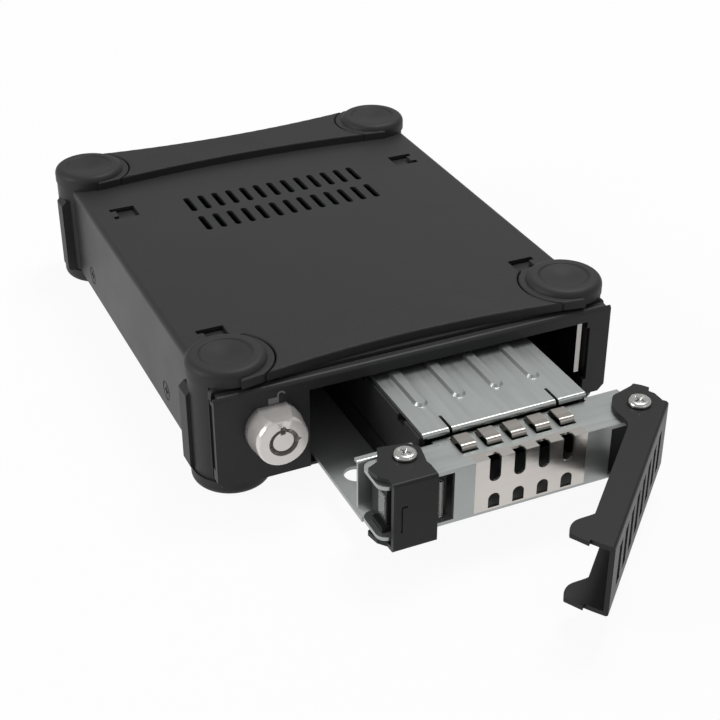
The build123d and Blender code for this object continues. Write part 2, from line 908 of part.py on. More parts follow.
def shield_springs():
    """Comb of arched spring fingers that rise through slots in the tray front's flange."""
    t = finger_sheet
    z0 = front_high - tray_sheet
    z1 = front_high + finger_rise
    comb = block(shield_left, shield_right, finger_back - t, flange_back, z0 - t, z0)
    for x in finger_places():
        x0 = x - finger_w / 2
        x1 = x + finger_w / 2
        finger = block(x0, x1, finger_front, finger_back, z0 - t, z1)
        finger = fillet(finger.edges().filter_by(Axis.X).group_by(Axis.Z)[-1], finger_bend)
        hollow = block(x0, x1, finger_front + t, finger_back - t, z0 - t, z1 - t)
        hollow = fillet(hollow.edges().filter_by(Axis.X).group_by(Axis.Z)[-1], finger_bend - t)
        finger -= hollow
        comb += finger - block(x0, x1, finger_front, finger_front + t, z0 - t, front_high + finger_tip_z)
    return comb


def carrier_box():
    """Black open-topped carrier: two long walls and a floor with bosses for its board."""
    z0 = tray_top
    outer = block(carrier_left, carrier_right, carrier_front, carrier_back, z0, carrier_top)
    x0 = carrier_left + carrier_wall
    x1 = carrier_right - carrier_wall
    box = outer - block(x0, x1, carrier_front, carrier_back, z0 + carrier_floor, carrier_top)
    box -= block(x0, x1, carrier_front, carrier_floor_front, z0, carrier_top)
    skirt_x = carrier_left - carrier_skirt
    box += block(skirt_x, carrier_left, carrier_front, carrier_back, z0, carrier_skirt_top)
    for y in (carrier_front + snap_first, carrier_front + snap_first + snap_pitch):
        box -= block(carrier_left, x0, y, y + snap_w, carrier_top - snap_d, carrier_top)
    for x, y in carrier_bosses():
        box += disc(x, y, z0 + carrier_floor, z0 + carrier_floor + boss_h, boss_r)
    return box


def carrier_bosses():
    inset = carrier_wall + boss_r + 0.8
    return [
        (x, y)
        for x in (carrier_left + inset, carrier_right - inset)
        for y in (carrier_floor_front + 4, carrier_back - 4)
    ]


def carrier_board():
    """Adapter board on the carrier's bosses."""
    z1 = carrier_board_top()
    gap = carrier_wall + slide_gap
    x0, x1 = carrier_left + gap, carrier_right - gap
    return block(x0, x1, carrier_floor_front + 1, carrier_back, z1 - board_t, z1)


def ribbed_plate():
    """Pressed plate over the carrier: long ribs, two slits and a lip turned down in front."""
    z1 = carrier_top + plate_sheet
    plate = block(plate_left, carrier_right, plate_front, carrier_back, carrier_top, z1)
    lip = block(
        plate_left + plate_sheet, carrier_right - plate_sheet, plate_front, plate_front + plate_sheet / 2,
        plate_lip_low, carrier_top,
    )
    plate = plate + lip
    plate = fillet(plate.edges().filter_by(Axis.X).group_by(Axis.Z)[-1].group_by(Axis.Y)[0], plate_bend)
    start = plate_front + rib_start
    length = carrier_back - start - rib_end_gap
    for i in range(ribs):
        x = rib_first_x + rib_pitch * i
        rib = extrude(Rot(0, 0, 90) * SlotOverall(length, rib_w), rib_rise, taper=rib_slope)
        plate += Pos(x, start + length / 2, z1) * rib
    for x in (slit_left_x, slit_right_x):
        plate -= block(x - slit_w / 2, x + slit_w / 2, plate_front, plate_front + slit_len, 0, z1)
    return plate


def side_hook():
    """Plate across the tray's left front, folded back at its top; the lock's cam turns in before it."""
    y0 = tray_front_edge
    plate = block(hook_left, hook_right, y0, y0 + hook_lip, tray_top, hook_top)
    plate = fillet(plate.edges().filter_by(Axis.X).group_by(Axis.Z)[-1].sort_by(Axis.Y)[0], hook_sheet)
    plate = chamfer(plate.edges().filter_by(Axis.Y).group_by(Axis.Z)[0].sort_by(Axis.X)[0], hook_corner)
    t = hook_sheet
    return plate - block(hook_left, hook_right, y0 + t, y0 + hook_lip, tray_top, hook_top - t)


def latch_block():
    """Black block between the left ears, open round the bracket's screw, with a ledge outside."""
    z0 = front_low + tray_sheet
    z1 = front_high - tray_sheet
    body = block(latch_left, latch_right, latch_front, latch_back, z0, z1)
    body -= block(latch_inner_left, latch_inner_right, latch_front, latch_bar_front, z0, z1)
    ledge = block(ledge_left, latch_inner_left, ledge_front, ledge_back, z0, z0 + ledge_h)
    return body + ledge


def lever_block():
    """Black block between the right ears, beside the lever's screw."""
    return block(
        stop_left, stop_right, stop_front, stop_back, front_low + tray_sheet, front_high - tray_sheet
    )


def light_guide():
    """Clear lens of the drive's light, on the latch block's outer side."""
    lens = block(latch_left - lens_t, latch_left, lens_front, lens_back, lens_low, lens_top)
    return chamfer(lens.faces().sort_by(Axis.X)[0].edges(), lens_cut)


def pivot_screws():
    """Two long pivot screws: lever on the right, release bracket on the left."""
    screws = []
    for x, y, high, low in (
        (lever_x, lever_y, lever_high, lever_low),
        (release_x, release_y, release_high, release_low),
    ):
        top = high + pivot_head_gap
        base = low - pivot_head_gap
        screw = disc(x, y, base, top, pivot_r)
        head = disc(x, y, top, top + pivot_head_t, pivot_head_r)
        head = fillet(head.edges().group_by(Axis.Z)[-1], pivot_head_t * 0.6)
        cross = Rectangle(cross_len, cross_w) + Rectangle(cross_w, cross_len)
        head -= Pos(x, y, top + pivot_head_t) * extrude(cross, -cross_d)
        screws.append(screw + head + disc(x, y, base - pivot_foot_t, base, pivot_foot_r))
    return screws


def tray_body():
    """Every solid that slides with the tray, by node name."""
    return {
        "tray_floor": tray_floor(),
        "tray_front": tray_front(),
        "shield_plate": shield_plate(),
        "shield_springs": shield_springs(),
        "carrier_box": carrier_box(),
        "carrier_board": carrier_board(),
        "drive_plug": drive_plug(),
        "ribbed_plate": ribbed_plate(),
        "side_hook": side_hook(),
        "latch_block": latch_block(),
        "lever_block": lever_block(),
        "light_guide": light_guide(),
        "pivot_screws": pivot_screws(),
    }


# Lever and release bracket


def lever():
    """Pull lever folded to a U: two arms with hooked ends and a windowed web in front."""
    f = -lever_front
    e = -lever_end
    ear = Polyline(
        (1.5, 6.6), (7.1, 3.5), (8.4, 3.2), (8.4, 1.2), (8.0, -0.9),
        (6.4, -1.0), (5.8, -2.7), (3.5, -5.0), (lever_corner, f),
    )
    tip = Polyline(
        (lever_corner, f), (e, f), (e + 0.6, -3.1), (e + 1.1, -0.9), (e + 0.2, -0.9), (e + 1.6, 3.7)
    )
    lobe = Spline((e + 1.6, 3.7), (e + 3.6, 4.15), (e + 6.2, 3.7), (e + 8.0, 2.3), (e + 10.3, 0.2))
    back = Line((e + 10.3, 0.2), (-10.8, 0.5))
    neck = Spline((-10.8, 0.5), (-8.1, 1.5), (-5.4, 4.3), (-2.2, 6.1), (1.5, 6.6))
    face = make_face([*ear.edges(), *tip.edges(), lobe, back, neck])
    outline = Pos(0, 0, lever_low) * extrude(face, lever_high - lever_low)
    t = lever_sheet
    corners = outline.edges().filter_by(Axis.Z).filter_by_position(Axis.X, lever_corner + t, lever_end)
    outline = fillet(corners, lever_round)
    shell = outline - block(2 * e, lever_end, f + t, lever_end, lever_low + t, lever_high - t)
    long_edges = shell.edges().filter_by(Axis.X).group_by(Axis.Y)[0]
    shell = fillet(long_edges, long_bend)
    zc = (lever_low + lever_high) / 2
    for i in range(lever_windows):
        x = lever_window_x + lever_window_pitch * (i - (lever_windows - 1) / 2)
        window = block(
            x - lever_window_w / 2, x + lever_window_w / 2, f - 1, f + t + 0.1,
            zc - lever_window_h / 2, zc + lever_window_h / 2,
        )
        shell -= window
    shell -= disc(0, 0, 0, case_h, pivot_r + pivot_slack)
    return Pos(lever_x, lever_y, 0) * Rot(0, 0, lever_open) * shell


def release_bracket():
    """Press bracket beside the lever: a U in black sheet that turns a few degrees when pressed."""
    x, y = release_x, release_y
    f = release_front
    outline = [
        (release_left, f),
        (release_right, f),
        (release_right, y - 5.5),
        (release_right - 0.3, y - 4.0),
        (release_right + 0.3, y - 1.4),
        (release_right + 0.9, y + 1.9),
        (x + 2.6, y + 4.4),
        (x - 4.5, y + 5.6),
        (x - 5.5, y + 3.0),
        (x - 6.6, y + 0.6),
        (x - 9.8, y - 0.9),
        (x - 9.1, y - 4.6),
        (release_left - 0.1, y - 6.7),
    ]
    t = lever_sheet
    body = slab(outline, release_low, release_high)
    body = fillet(body.edges().filter_by(Axis.Z).filter_by_position(Axis.Y, f + t, case_h), lever_round)
    reach = 2 * case_h
    shell = body - block(-case_w, 0, f + t, reach, release_low + t, release_high - t)
    shell -= block(-case_w, 0, release_low_back, reach, release_low, release_low + t)
    shell = fillet(shell.edges().filter_by(Axis.X).group_by(Axis.Y)[0], long_bend)
    g = release_left + groove_inset
    shell -= block(g, g + groove_w, f, f + groove_d, groove_low, groove_top)
    shell -= block(g, g + groove_arm, f, f + groove_d, groove_top - groove_w, groove_top)
    return shell - disc(x, y, 0, case_h, pivot_r + pivot_slack)


# Everything, placed and written


def inner_body():
    """Cage, boards, sockets and the fixed half of the lock and switch, by node name."""
    return {
        "tray_cage": tray_cage(),
        "edge_clip": edge_clip(),
        "guide_rail_left": guide_rail(-1),
        "guide_rail_right": guide_rail(1),
        "backplane_board": backplane_board(),
        "drive_socket": drive_socket(),
        "bridge_board": bridge_board(),
        "board_spacers": board_spacers(),
        "board_screws": board_screws(),
        "board_link": board_link(),
        "usb_socket": usb_socket(),
        "power_jack": power_jack(),
        "switch_body": switch_body(),
        "lock_barrel": lock_barrel(),
        "lock_nut": lock_nut(),
    }


def moving_bodies():
    """Pieces that move on their own in the case, by node name."""
    return {
        "switch_rocker": switch_rocker(),
        "lock_core": lock_core(),
        "lock_cam": lock_cam(),
        "cam_screw": cam_screw(),
    }


def front_reach():
    """How far the open lever's tip stands in front of the front panel."""
    turn = radians(lever_open)
    corner = -lever_end * sin(turn) - lever_front * cos(turn)
    return tray_out - lever_y - corner


middle_y = (case_back + bezel_t - front_reach()) / 2
origin = Pos(0, -middle_y, foot_drop)
drawn_out = Pos(0, -tray_out, 0)

nodes = {**case_body(), **inner_body(), **moving_bodies()}
for name, shape in {**tray_body(), "lever": lever(), "release_bracket": release_bracket()}.items():
    solids = shape if isinstance(shape, list) else [shape]
    nodes[name] = [drawn_out * solid for solid in solids]

os.makedirs("parts", exist_ok=True)
for name, shape in nodes.items():
    solids = shape if isinstance(shape, list) else [shape]
    placed = [origin * solid for solid in solids]
    export_step(placed[0] if len(placed) == 1 else Compound(children=placed), f"parts/{name}.step")
print("origin shift", round(middle_y, 3), "nodes", len(nodes))
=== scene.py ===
import json
import math

import bmesh
import bpy
from mathutils import Matrix, Vector
from mathutils.bvhtree import BVHTree


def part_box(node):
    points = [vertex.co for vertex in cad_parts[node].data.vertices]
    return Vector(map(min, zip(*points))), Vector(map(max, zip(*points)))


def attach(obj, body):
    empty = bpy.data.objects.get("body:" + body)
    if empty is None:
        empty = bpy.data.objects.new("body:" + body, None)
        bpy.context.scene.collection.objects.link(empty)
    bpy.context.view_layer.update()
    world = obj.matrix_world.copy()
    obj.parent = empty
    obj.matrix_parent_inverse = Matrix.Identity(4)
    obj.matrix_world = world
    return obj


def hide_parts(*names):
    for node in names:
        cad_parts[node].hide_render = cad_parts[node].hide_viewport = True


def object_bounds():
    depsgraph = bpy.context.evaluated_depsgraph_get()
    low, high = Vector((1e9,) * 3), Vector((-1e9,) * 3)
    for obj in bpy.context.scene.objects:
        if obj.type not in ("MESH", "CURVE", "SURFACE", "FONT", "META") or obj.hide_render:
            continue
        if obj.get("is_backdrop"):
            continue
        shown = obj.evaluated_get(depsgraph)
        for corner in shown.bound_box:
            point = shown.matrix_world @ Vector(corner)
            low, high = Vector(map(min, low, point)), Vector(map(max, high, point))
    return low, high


bl_info = {
    "name": "External Drive Enclosure",
    "version": (1, 0, 0),
    "blender": (4, 5, 0),
    "location": "View3D > Sidebar > Enclosure",
    "description": "Finishes, fasteners, marks and studio for a desktop drive enclosure with a pull-out tray",
    "category": "Object",
}

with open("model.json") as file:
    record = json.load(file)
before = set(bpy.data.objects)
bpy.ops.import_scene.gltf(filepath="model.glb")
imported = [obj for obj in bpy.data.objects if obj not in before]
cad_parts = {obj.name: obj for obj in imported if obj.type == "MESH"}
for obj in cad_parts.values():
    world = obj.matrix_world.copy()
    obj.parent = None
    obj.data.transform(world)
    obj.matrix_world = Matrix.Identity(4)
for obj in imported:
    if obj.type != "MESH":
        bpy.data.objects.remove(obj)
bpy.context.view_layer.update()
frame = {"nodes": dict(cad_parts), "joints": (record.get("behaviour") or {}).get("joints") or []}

MM = 0.001
WELD = 0.0005 * MM
joint_place = {joint["name"]: Vector(joint["pos_m"]) for joint in frame["joints"] if "pos_m" in joint}

POSTS = (
    "corner_post_front_left",
    "corner_post_front_right",
    "corner_post_rear_left",
    "corner_post_rear_right",
)


def length(label, text, default):
    """A length that the sidebar shows in the scene's units."""
    return bpy.props.FloatProperty(
        name=label, description=text, default=default, min=0.0, precision=5, unit="LENGTH"
    )


def colour(label, text, default):
    """A colour picker for one finish."""
    return bpy.props.FloatVectorProperty(
        name=label, description=text, default=default, size=3, min=0.0, max=1.0, subtype="COLOR"
    )


class EnclosureSizes(bpy.types.PropertyGroup):
    """Sizes of the pieces that are added to the enclosure."""

    case_screw_radius: length("Side screw radius", "Radius of a side screw's head", 2.8 * MM)
    case_shank_radius: length("Side screw shank", "Radius of a side screw's shank", 1.45 * MM)
    pivot_head_radius: length("Pivot screw radius", "Radius of a pivot screw's head", 2.9 * MM)
    pivot_head_height: length("Pivot screw height", "Height of a pivot screw's head", 1.1 * MM)
    pivot_foot_radius: length("Pivot screw foot", "Radius of a pivot screw's riveted foot", 2.6 * MM)
    pivot_foot_height: length("Pivot foot height", "Height of a pivot screw's riveted foot", 0.7 * MM)
    pivot_shank_radius: length("Pivot screw shank", "Radius of a pivot screw's shank", 1.6 * MM)
    dish_radius: length("Cap dish", "Radius of the step round the dish in each cap", 6.9 * MM)
    spring_radius: length("Return spring", "Outer radius of the spring beside the bracket", 1.0 * MM)
    spring_wire: length("Spring wire", "Radius of the spring's wire", 0.17 * MM)
    barrel_flat: length("Barrel flat", "Height of the lock barrel's flat above its axis", 6.1 * MM)
    recess_depth: length("Recess depth", "Depth of the cross recess in a pivot screw", 0.6 * MM)
    mark_width: length("Padlock width", "Width of the padlock's body above the lock", 2.7 * MM)
    mark_thickness: length("Ink thickness", "Thickness of printed marks", 0.03 * MM)
    padlock_right: length("Padlock offset", "How far the padlock stands right of the lock's axis", 0.55 * MM)
    padlock_rise: length("Padlock rise", "Height of the padlock's foot above the lock's axis", 6.35 * MM)
    rocker_ink: length("Rocker ink", "Thickness of the marks on the rocker", 0.05 * MM)


class EnclosureColours(bpy.types.PropertyGroup):
    """Colours of the enclosure's finishes."""

    steel: colour("Case steel", "Powder coat on the case", (0.026, 0.026, 0.0265))
    lever: colour("Lever steel", "Powder coat on the lever and the press bracket", (0.0155, 0.0155, 0.016))
    rubber: colour("Rubber", "Moulded corner posts", (0.022, 0.022, 0.0225))
    band: colour("Bands", "Plastic bands across the top", (0.020, 0.020, 0.0205))
    plastic: colour("Black plastic", "Carrier, rails and sockets", (0.018, 0.018, 0.019))
    zinc: colour("Zinc plate", "Tray floor, tray front and ribbed plate", (0.37, 0.39, 0.38))
    spring: colour("Spring steel", "Shield plate", (0.56, 0.53, 0.50))
    clip: colour("Edge clip", "Plated strip inside the mouth", (0.88, 0.85, 0.81))
    finger: colour("Spring fingers", "Comb of spring fingers over the tray's front", (0.34, 0.32, 0.295))
    engraved: colour("Engraved marks", "Pointers by the lock's keyway", (0.19, 0.185, 0.18))
    screw: colour("Bright screws", "Polished screws on the tray", (0.52, 0.52, 0.51))
    chrome: colour("Lock", "Satin chrome on the lock", (0.69, 0.66, 0.64))
    board: colour("Boards", "Solder mask on the boards", (0.012, 0.060, 0.030))
    ink: colour("Printed mark", "Ink of the printed marks", (0.19, 0.19, 0.187))
    clear: colour("Light guide", "Smoky clear plastic", (0.62, 0.63, 0.62))


def sizes():
    """The sizes that the sidebar shows."""
    return bpy.context.scene.enclosure_sizes


def colours():
    """The colours that the sidebar shows."""
    return bpy.context.scene.enclosure_colours


class Finish:
    """A material under construction: its node tree, its shader and its object coordinates."""

    def __init__(self, name, base, roughness, metallic=0.0):
        self.material = bpy.data.materials.new(name)
        self.material.use_nodes = True
        self.tree = self.material.node_tree
        self.shader = self.tree.nodes["Principled BSDF"]
        self.shader.inputs["Roughness"].default_value = roughness
        self.shader.inputs["Metallic"].default_value = metallic
        self.base = (*base, 1.0)
        self.shader.inputs["Base Color"].default_value = self.base
        self.place = self.tree.nodes.new("ShaderNodeTexCoord").outputs["Object"]

    def set(self, **values):
        """Sets the shader's own sockets, with underscores for spaces."""
        for name, value in values.items():
            self.shader.inputs[name.replace("_", " ")].default_value = value

    def stretched(self, scale):
        """Object coordinates stretched along the axes."""
        mapping = self.tree.nodes.new("ShaderNodeMapping")
        mapping.inputs["Scale"].default_value = scale
        self.tree.links.new(self.place, mapping.inputs["Vector"])
        return mapping.outputs["Vector"]

    def noise(self, scale, detail=2.0, roughness=0.5, place=None):
        """A noise pattern, with its scale per metre."""
        made = self.tree.nodes.new("ShaderNodeTexNoise")
        made.inputs["Scale"].default_value = scale
        made.inputs["Detail"].default_value = detail
        made.inputs["Roughness"].default_value = roughness
        self.tree.links.new(place or self.place, made.inputs["Vector"])
        return made.outputs["Fac"]

    def cells(self, scale, place=None):
        """The distance to the nearest of many scattered points."""
        made = self.tree.nodes.new("ShaderNodeTexVoronoi")
        made.inputs["Scale"].default_value = scale
        self.tree.links.new(place or self.place, made.inputs["Vector"])
        return made.outputs["Distance"]

    def radius(self, centre, across):
        """The distance from an axis through centre, with across 0 along that axis and 1 across it."""
        mapping = self.tree.nodes.new("ShaderNodeMapping")
        mapping.inputs["Location"].default_value = -centre
        self.tree.links.new(self.place, mapping.inputs["Vector"])
        flat = self.tree.nodes.new("ShaderNodeVectorMath")
        flat.operation = "MULTIPLY"
        flat.inputs[1].default_value = across
        self.tree.links.new(mapping.outputs["Vector"], flat.inputs[0])
        made = self.tree.nodes.new("ShaderNodeVectorMath")
        made.operation = "LENGTH"
        self.tree.links.new(flat.outputs["Vector"], made.inputs[0])
        return made.outputs["Value"]

    def spread(self, value, low, high, to_low, to_high, curve="LINEAR"):
        """value brought from one range to another."""
        made = self.tree.nodes.new("ShaderNodeMapRange")
        made.interpolation_type = curve
        for name, number in zip(("From Min", "From Max", "To Min", "To Max"), (low, high, to_low, to_high)):
            made.inputs[name].default_value = number
        self.tree.links.new(value, made.inputs["Value"])
        return made.outputs["Result"]

    def tint(self, value, dark, light):
        """The base colour from dark to light times itself as value goes from 0 to 1."""
        mix = self.tree.nodes.new("ShaderNodeMix")
        mix.data_type = "RGBA"
        mix.inputs["A"].default_value = tuple(part * dark for part in self.base[:3]) + (1.0,)
        mix.inputs["B"].default_value = tuple(part * light for part in self.base[:3]) + (1.0,)
        self.tree.links.new(value, mix.inputs["Factor"])
        self.tree.links.new(mix.outputs["Result"], self.shader.inputs["Base Color"])

    def dull(self, value):
        """Roughness from a pattern."""
        self.tree.links.new(value, self.shader.inputs["Roughness"])

    def emboss(self, *layers):
        """Bump from pairs of a pattern and its depth in metres."""
        normal = None
        for value, depth in layers:
            bump = self.tree.nodes.new("ShaderNodeBump")
            bump.inputs["Strength"].default_value = 1.0
            bump.inputs["Distance"].default_value = depth
            self.tree.links.new(value, bump.inputs["Height"])
            if normal is not None:
                self.tree.links.new(normal, bump.inputs["Normal"])
            normal = bump.outputs["Normal"]
        self.tree.links.new(normal, self.shader.inputs["Normal"])


def powder_coat(name, base):
    """Fine, even powder coat with a soft grain."""
    finish = Finish(name, base, 0.42)
    finish.set(Specular_IOR_Level=0.20)
    grain = finish.noise(2600.0, 3.0, 0.6)
    finish.tint(finish.spread(grain, 0.3, 0.7, 0.0, 1.0), 0.90, 1.10)
    finish.dull(finish.spread(finish.noise(60.0, 2.0), 0.3, 0.7, 0.40, 0.45))
    finish.emboss((grain, 0.005 * MM), (finish.noise(420.0, 2.0), 0.004 * MM))
    return finish.material


def rubber_with_painted_dish_shade(name, base, centre, dish):
    """Matt rubber with a fine spark-eroded grain, a soft step round the dish of the cap, and painted shade
    inside the dish.
    """
    finish = Finish(name, base, 0.55)
    finish.set(Specular_IOR_Level=0.26)
    grain = finish.noise(3200.0, 2.0, 0.55)
    # Mask for the dish: 0 inside the step and 1 outside; it drives both the bump and the painted shade.
    rim = finish.spread(
        finish.radius(centre, (1.0, 1.0, 0.0)), dish - 1.0 * MM, dish + 0.3 * MM, 0.0, 1.0, "SMOOTHSTEP"
    )
    # Painted shade: inside the step the dish is darkened to 0.88 of the rubber's colour.
    finish.tint(rim, 0.88, 1.0)
    finish.dull(finish.spread(grain, 0.3, 0.7, 0.50, 0.60))
    finish.emboss((rim, 0.55 * MM), (grain, 0.006 * MM))
    return finish.material


def textured_plastic(name, base, roughness):
    """Moulded plastic with a fine leather-like grain."""
    finish = Finish(name, base, roughness)
    finish.set(Specular_IOR_Level=0.28)
    grain = finish.cells(1900.0)
    finish.tint(finish.spread(finish.noise(130.0), 0.3, 0.7, 0.0, 1.0), 0.94, 1.06)
    finish.dull(finish.spread(grain, 0.0, 0.6, roughness - 0.04, roughness + 0.06))
    finish.emboss((grain, 0.005 * MM))
    return finish.material


def rolled_steel(name, base, roughness, along, metallic=1.0):
    """Plated sheet, with faint rolling marks along one axis and soft clouding."""
    finish = Finish(name, base, roughness, metallic)
    stretch = [900.0, 900.0, 900.0]
    stretch["xyz".index(along)] = 30.0
    streaks = finish.noise(1.0, 3.0, 0.6, finish.stretched(stretch))
    clouds = finish.noise(45.0, 4.0, 0.6)
    finish.tint(finish.spread(clouds, 0.3, 0.7, 0.0, 1.0), 0.95, 1.04)
    finish.dull(finish.spread(streaks, 0.3, 0.7, roughness - 0.03, roughness + 0.04))
    finish.emboss((streaks, 0.00015 * MM))
    return finish.material


def polished_steel(name, base, roughness):
    """Bright turned steel with faint smudges."""
    finish = Finish(name, base, roughness, 1.0)
    finish.dull(finish.spread(finish.noise(700.0, 3.0), 0.3, 0.7, roughness - 0.04, roughness + 0.06))
    finish.emboss((finish.noise(2400.0), 0.0010 * MM))
    return finish.material


def satin_chrome(name, base, centre):
    """Satin chrome, turned about the lock's axis, with rings too fine to count."""
    finish = Finish(name, base, 0.24, 0.6)
    rings = finish.tree.nodes.new("ShaderNodeTexNoise")
    rings.noise_dimensions = "1D"
    rings.inputs["Scale"].default_value = 16000.0
    finish.tree.links.new(finish.radius(centre, (1.0, 0.0, 1.0)), rings.inputs["W"])
    finish.tint(rings.outputs["Fac"], 0.985, 1.01)
    finish.dull(finish.spread(rings.outputs["Fac"], 0.3, 0.7, 0.235, 0.25))
    finish.emboss((finish.noise(500.0, 2.0), 0.0003 * MM))
    return finish.material


def plated_strip(name, base):
    """Bright plate with a soft shine; a faint glow stands for the light that it catches in the mouth."""
    finish = Finish(name, base, 0.35, 0.2)
    finish.set(Emission_Color=(*base, 1.0), Emission_Strength=0.35)
    finish.tint(finish.spread(finish.noise(350.0, 3.0), 0.3, 0.7, 0.0, 1.0), 0.92, 1.05)
    finish.emboss((finish.noise(900.0), 0.0004 * MM))
    return finish.material


def solder_mask(name, base):
    """Green lacquer over copper runs."""
    finish = Finish(name, base, 0.32)
    runs = finish.tree.nodes.new("ShaderNodeTexBrick")
    runs.inputs["Scale"].default_value = 160.0
    runs.inputs["Mortar Size"].default_value = 0.035
    runs.inputs["Color1"].default_value = (0.0, 0.0, 0.0, 1.0)
    runs.inputs["Color2"].default_value = (0.1, 0.1, 0.1, 1.0)
    runs.inputs["Mortar"].default_value = (1.0, 1.0, 1.0, 1.0)
    finish.tree.links.new(finish.place, runs.inputs["Vector"])
    finish.tint(runs.outputs["Color"], 0.9, 1.7)
    finish.emboss((runs.outputs["Color"], 0.02 * MM))
    return finish.material


def smoky_clear(name, base):
    """Clear plastic with a smoky tone."""
    finish = Finish(name, base, 0.12)
    finish.set(Transmission_Weight=0.85, IOR=1.49)
    finish.tint(finish.spread(finish.noise(300.0), 0.3, 0.7, 0.0, 1.0), 0.9, 1.0)
    finish.emboss((finish.noise(500.0), 0.010 * MM))
    return finish.material


def printed_ink(name, base):
    """Screen-printed ink, slightly uneven."""
    finish = Finish(name, base, 0.6)
    finish.tint(finish.spread(finish.noise(2500.0, 3.0), 0.35, 0.65, 0.0, 1.0), 0.85, 1.1)
    finish.emboss((finish.noise(3000.0), 0.004 * MM))
    return finish.material


def plain_mark(name, base):
    """Engraved mark in the lock's face, drawn as a dark flat mark laid on the face."""
    finish = Finish(name, base, 0.7)
    finish.tint(finish.spread(finish.noise(3000.0, 2.0), 0.35, 0.65, 0.0, 1.0), 0.8, 1.2)
    return finish.material


def material(name, make, *values):
    """The material of that name, made once."""
    return bpy.data.materials.get(name) or make(name, *values)


def dress(made, *nodes):
    """Gives CAD nodes a material."""
    for name in nodes:
        piece = frame["nodes"][name]
        if not piece.material_slots:
            piece.data.materials.append(made)
        for slot in piece.material_slots:
            slot.material = made


def finished(bm, name, made, body, sharp=35.0):
    """The bmesh as an object that rides on a body and takes its finish from a slot."""
    bmesh.ops.recalc_face_normals(bm, faces=bm.faces)
    for face in bm.faces:
        face.smooth = True
    mesh = bpy.data.meshes.new(name)
    bm.to_mesh(mesh)
    bm.free()
    mesh.set_sharp_from_angle(angle=math.radians(sharp))
    mesh.materials.append(made)
    piece = bpy.data.objects.new(name, mesh)
    bpy.context.scene.collection.objects.link(piece)
    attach(piece, body)
    return piece


def islands(node):
    """The boxes, as pairs of corners, of the separate solids in one CAD node."""
    bm = bmesh.new()
    bm.from_mesh(frame["nodes"][node].data)
    bmesh.ops.remove_doubles(bm, verts=bm.verts, dist=0.001 * MM)
    left = set(bm.verts)
    boxes = []
    while left:
        queue = [left.pop()]
        found = []
        while queue:
            vert = queue.pop()
            found.append(vert.co.copy())
            for edge in vert.link_edges:
                other = edge.other_vert(vert)
                if other in left:
                    left.remove(other)
                    queue.append(other)
        low = Vector(min(co[axis] for co in found) for axis in range(3))
        high = Vector(max(co[axis] for co in found) for axis in range(3))
        boxes.append((low, high))
    bm.free()
    return sorted(boxes, key=lambda pair: tuple(pair[0]))


def turned(bm, profile, steps=32):
    """A profile of radius and height pairs, spun about Z."""
    verts = [bm.verts.new((radius, 0.0, height)) for radius, height in profile]
    edges = [bm.edges.new(pair) for pair in zip(verts, verts[1:])]
    bmesh.ops.spin(
        bm, geom=verts + edges, cent=(0, 0, 0), axis=(0, 0, 1), angle=math.tau, steps=steps, use_merge=True
    )
    bmesh.ops.remove_doubles(bm, verts=bm.verts, dist=WELD)


def cross_head(bm, radius, height, reach, arm, depth, place):
    """A pan-head screw's head with a cross recess, its seat at Z 0, put in place by a matrix."""
    part = bmesh.new()
    flat = radius * 0.72
    turned(
        part,
        (
            (0.0, 0.0),
            (radius, 0.0),
            (radius, height * 0.35),
            (radius * 0.97, height * 0.62),
            (radius * 0.87, height * 0.88),
            (flat, height),
        ),
    )
    rim = [edge for edge in part.edges if edge.is_boundary]
    half = arm / 2
    corners = []
    for quarter in range(4):
        turn = Matrix.Rotation(quarter * math.pi / 2, 3, "Z")
        for point in ((half, half), (half, reach), (-half, reach)):
            corners.append(turn @ Vector((point[0], point[1], height)))
    verts = [part.verts.new(co) for co in corners]
    star = [part.edges.new((verts[index], verts[(index + 1) % 12])) for index in range(12)]
    bmesh.ops.triangle_fill(part, use_beauty=True, edges=rim + star)
    sunk = bmesh.ops.extrude_edge_only(part, edges=star)["geom"]
    floor = [item for item in sunk if isinstance(item, bmesh.types.BMVert)]
    ends = [item for item in sunk if isinstance(item, bmesh.types.BMEdge) and item.is_boundary]
    bmesh.ops.scale(part, vec=(0.45, 0.45, 1.0), verts=floor)
    bmesh.ops.translate(part, vec=(0.0, 0.0, -depth), verts=floor)
    bmesh.ops.contextual_create(part, geom=ends)
    bmesh.ops.remove_doubles(part, verts=part.verts, dist=WELD)
    merge(bm, part, place)


def merge(bm, part, place):
    """Moves a part by a matrix and adds it to another bmesh."""
    bmesh.ops.transform(part, matrix=place, verts=part.verts)
    mesh = bpy.data.meshes.new("part")
    part.to_mesh(mesh)
    part.free()
    bm.from_mesh(mesh)
    bpy.data.meshes.remove(mesh)


def plate(bm, outline, thickness, place):
    """A flat plate from an outline of X and Y pairs, put in place by a matrix."""
    part = bmesh.new()
    verts = [part.verts.new((x, y, 0.0)) for x, y in outline]
    face = part.faces.new(verts)
    grown = bmesh.ops.extrude_face_region(part, geom=[face])["geom"]
    lifted = [item for item in grown if isinstance(item, bmesh.types.BMVert)]
    bmesh.ops.translate(part, vec=(0.0, 0.0, thickness), verts=lifted)
    merge(bm, part, place)


def facing_front(place):
    """A matrix that stands a flat mark on a face that looks to the front, X right and Y up."""
    return Matrix.Translation(place) @ Matrix.Rotation(math.pi / 2, 4, "X")


def arc(centre, radius, start, end, steps):
    """Points round an arc, in degrees."""
    angles = [math.radians(start + (end - start) * step / steps) for step in range(steps + 1)]
    return [(centre[0] + radius * math.cos(a), centre[1] + radius * math.sin(a)) for a in angles]


def ribbon(centre, radius, width, start, end, steps=20):
    """The outline of a curved stroke."""
    outer = arc(centre, radius + width / 2, start, end, steps)
    inner = arc(centre, radius - width / 2, end, start, steps)
    return outer + inner


